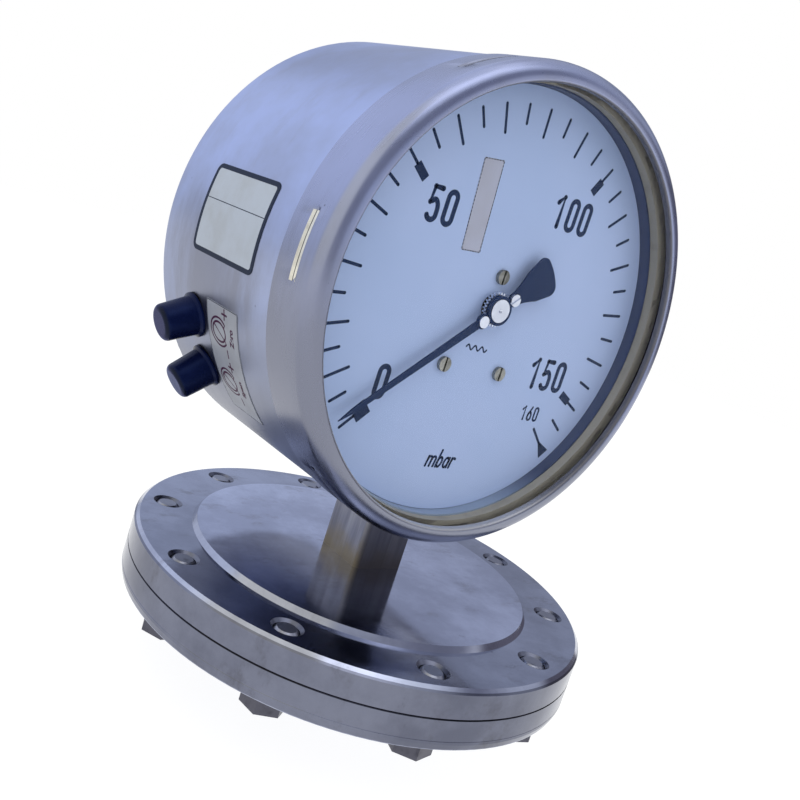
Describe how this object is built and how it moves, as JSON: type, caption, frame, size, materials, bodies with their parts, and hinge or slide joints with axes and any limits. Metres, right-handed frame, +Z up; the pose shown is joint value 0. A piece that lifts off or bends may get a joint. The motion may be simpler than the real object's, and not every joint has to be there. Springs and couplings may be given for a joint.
{
  "type": "dial pressure transmitter",
  "caption": "Drum-cased dial pressure transmitter with bayonet ring on a square stem and a bolted round diaphragm flange.",
  "frame": {"origin": "centre of the end face of the process thread, above its pilot", "axes": "+Z up the stem, -Y out of the dial towards the reader, +X to the reader's right"},
  "size_m": [0.1913, 0.165, 0.2363],
  "materials": {
    "case_steel": "satin stainless sheet with smudges",
    "ring_steel": "satin stainless sheet, bright on the bead",
    "flange_steel": "turned stainless, nearly polished, lightly stained",
    "stem_steel": "drawn stainless bar, brushed lengthwise, heat stain at its foot",
    "bolt_steel": "plain stainless bolts",
    "spring_steel": "rolled spring sheet",
    "turned_steel": "turned steel",
    "bright_steel": "bright plated steel",
    "brass": "plain brass",
    "spring_bronze": "spring bronze strip",
    "seal_rubber": "black moulded rubber",
    "pale_rubber": "pale beige seal",
    "cap_rubber": "blue-black moulded rubber",
    "window_glass": "clear flat pane",
    "dial_white": "matt white paint with black print",
    "pointer_black": "matt black paint",
    "magnet_dark": "sintered magnet",
    "chip_black": "moulded plastic",
    "board_green": "green solder mask",
    "terminal_grey": "moulded plastic",
    "gland_metal": "plated brass"
  },
  "bodies": {
    "case": {"case_drum": "case_steel", "upper_flange": "flange_steel", "lower_flange": "flange_steel", "stem": "stem_steel", "flange_bolts": "bolt_steel", "process_connection": "flange_steel", "diaphragm": "spring_steel", "flange_seal": "seal_rubber", "rod_bush": "brass", "relief_plug": "seal_rubber", "window_glass": "window_glass", "window_gasket": "pale_rubber", "dial_plate": "dial_white", "dial_posts": "brass", "dial_screws": "bright_steel", "front_plate": "brass", "back_plate": "brass", "plate_pillars": "brass", "plate_screws": "bright_steel", "hairspring": "spring_bronze", "hairspring_stud": "brass", "angle_sensor": "chip_black", "circuit_board": "board_green", "board_posts": "brass", "board_screws": "bright_steel", "terminal_block": "terminal_grey", "zero_trimmer": "chip_black", "span_trimmer": "chip_black", "zero_nut": "bright_steel", "span_nut": "bright_steel", "gland_body": "gland_metal", "gland_nut": "gland_metal", "gland_seal": "seal_rubber", "gland_locknut": "gland_metal"},
    "pointer": {"pointer_arbor": "turned_steel", "arbor_pinion": "brass", "pointer_hub": "bright_steel", "pointer_wheel": "bright_steel", "sensor_magnet": "magnet_dark"},
    "blade": {"pointer_blade": "pointer_black", "pointer_rivet": "bright_steel"},
    "trim": {"trim_screw": "bright_steel"},
    "sector": {"sector_gear": "brass", "sector_arbor": "turned_steel", "sector_pin": "turned_steel"},
    "rod": {"push_rod": "turned_steel", "rod_yoke": "turned_steel"},
    "ring": {"bayonet_ring": "ring_steel"},
    "zero_cap": {"zero_cap": "cap_rubber"},
    "span_cap": {"span_cap": "cap_rubber"},
    "zero_screw": {"zero_screw": "bright_steel"},
    "span_screw": {"span_screw": "bright_steel"}
  },
  "joints": [
    {"name": "pointer_sweep", "type": "hinge", "parent": "case", "child": "pointer", "pos_m": [0, 0, 0.1528], "axis": [0, 1, 0], "range_deg": [0, 268]},
    {"name": "sector_swing", "type": "hinge", "parent": "case", "child": "sector", "pos_m": [-0.005, 0, 0.12221], "axis": [0, 1, 0], "range_deg": [-39.75, 0]},
    {"name": "rod_slide", "type": "slide", "parent": "case", "child": "rod", "axis": [0, 0, 1], "range_m": [0, 0.00339], "deforming": ["diaphragm"]},
    {"name": "pointer_trim", "type": "hinge", "parent": "pointer", "child": "blade", "pos_m": [0, 0, 0.1528], "axis": [0, 1, 0], "range_deg": [-10, 10]},
    {"name": "trim_turn", "type": "hinge", "parent": "blade", "child": "trim", "pos_m": [0.00527, 0, 0.15741], "axis": [0, 1, 0], "range_deg": [-40, 40]},
    {"name": "ring_twist", "type": "hinge", "parent": "case", "child": "ring", "pos_m": [0, -0.025, 0.1528], "axis": [0, 1, 0], "range_deg": [-33.3, 0]},
    {"name": "zero_cap_pull", "type": "slide", "parent": "case", "child": "zero_cap", "axis": [-0.9157, 0, -0.4019], "range_m": [0, 0.016]},
    {"name": "span_cap_pull", "type": "slide", "parent": "case", "child": "span_cap", "axis": [-0.7923, 0, -0.6101], "range_m": [0, 0.016]},
    {"name": "zero_adjust", "type": "hinge", "parent": "case", "child": "zero_screw", "pos_m": [-0.07783, 0.0356, 0.11863], "axis": [-0.9157, 0, -0.4019], "range_deg": [-135, 135]},
    {"name": "span_adjust", "type": "hinge", "parent": "case", "child": "span_screw", "pos_m": [-0.06735, 0.0356, 0.10094], "axis": [-0.7923, 0, -0.6101], "range_deg": [-135, 135]}
  ],
  "couplings": [
    {"joint": "sector_swing", "follows": "rod_slide", "rad_per_m": -204.12},
    {"joint": "pointer_sweep", "follows": "rod_slide", "rad_per_m": 1377.8},
    {"joint": "trim_turn", "follows": "pointer_trim", "ratio": 4}
  ]
}
